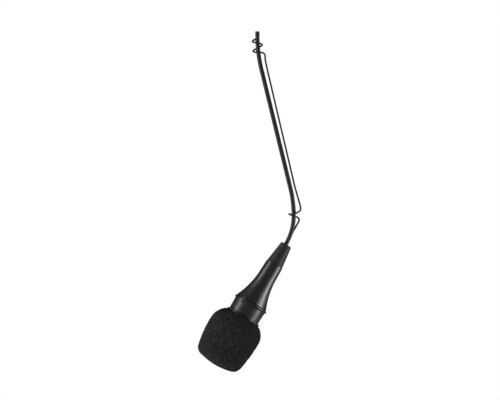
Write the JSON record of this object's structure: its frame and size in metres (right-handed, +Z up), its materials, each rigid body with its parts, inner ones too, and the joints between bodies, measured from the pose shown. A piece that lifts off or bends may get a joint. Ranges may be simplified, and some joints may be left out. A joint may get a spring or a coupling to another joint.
{
  "type": "hanging microphone",
  "caption": "Slim overhead condenser microphone with a foam windscreen, hung on its own thin cable and aimed by a bent wire hanger.",
  "frame": {"origin": "middle of the cable's cut top end", "axes": "+Z up along the cable's top end; the cable, the hanger and the microphone's axis lie in the XZ plane, and the microphone points down and towards -X"},
  "size_m": [0.0707, 0.0372, 0.2351],
  "materials": {
    "cable_jacket": "satin black cable jacket",
    "cable_shield": "tinned copper braid",
    "conductor": "coloured wire insulation",
    "hanger_wire": "dark satin coated spring-steel wire",
    "boot_rubber": "matte dark grey rubber",
    "housing": "glossy black moulded plastic",
    "rim_ring": "black bead",
    "grille": "black painted basket",
    "grille_mesh": "fine woven steel mesh",
    "foam": "open-cell black acoustic foam",
    "capsule_can": "drawn aluminium",
    "brass": "turned brass",
    "diaphragm": "metallised film",
    "insulator": "natural moulded plastic",
    "felt": "pressed felt",
    "circuit_board": "green solder mask on glass epoxy",
    "chip": "moulded black epoxy",
    "capacitor": "aluminium can with a dark sleeve",
    "mount_rubber": "soft black rubber",
    "lock_ring": "black plastic ring",
    "steel": "bright steel"
  },
  "bodies": {
    "cable_end": {"cable_jacket_stub": "cable_jacket", "cable_shield_stub": "cable_shield", "cable_conductors_stub": "conductor"},
    "hanger": {"cable_jacket_upper": "cable_jacket", "cable_shield_upper": "cable_shield", "cable_conductors_upper": "conductor", "hanger_wire_upper": "hanger_wire"},
    "windscreen": {"windscreen_foam": "foam"},
    "head": {"cable_jacket_lower": "cable_jacket", "cable_shield_lower": "cable_shield", "cable_conductors_lower": "conductor", "capsule_leads": "conductor", "cable_tails": "conductor", "hanger_wire_lower": "hanger_wire", "strain_relief_boot": "boot_rubber", "taper_shell": "housing", "collar": "housing", "flange_ring": "housing", "rim_ring": "rim_ring", "grille_basket": "grille", "grille_mesh": "grille_mesh", "capsule_can": "capsule_can", "diaphragm_ring": "brass", "diaphragm_spacer": "brass", "backplate": "brass", "contact_ring": "brass", "cable_anchor": "brass", "diaphragm": "diaphragm", "insulating_sleeve": "insulator", "board_carrier": "insulator", "damping_felt": "felt", "capsule_board": "circuit_board", "preamp_board": "circuit_board", "capsule_transistor": "chip", "amplifier_chip": "chip", "board_resistors": "chip", "board_capacitors": "capacitor", "capsule_mount": "mount_rubber", "capsule_lock_ring": "lock_ring", "anchor_screw": "steel", "cable_crimp": "steel"}
  },
  "joints": [
    {"name": "cable_swivel", "type": "hinge", "parent": "cable_end", "child": "hanger", "pos_m": [0, 0, -0.0032], "axis": [0, 0, 1], "range_deg": [-180, 180]},
    {"name": "aim_tilt", "type": "hinge", "parent": "hanger", "child": "head", "pos_m": [0.02489, 0, -0.1283], "axis": [0, 1, 0], "range_deg": [-30, 40]},
    {"name": "windscreen_pull", "type": "slide", "parent": "head", "child": "windscreen", "axis": [-0.515, 0, -0.8572], "range_m": [0, 0.045]}
  ]
}
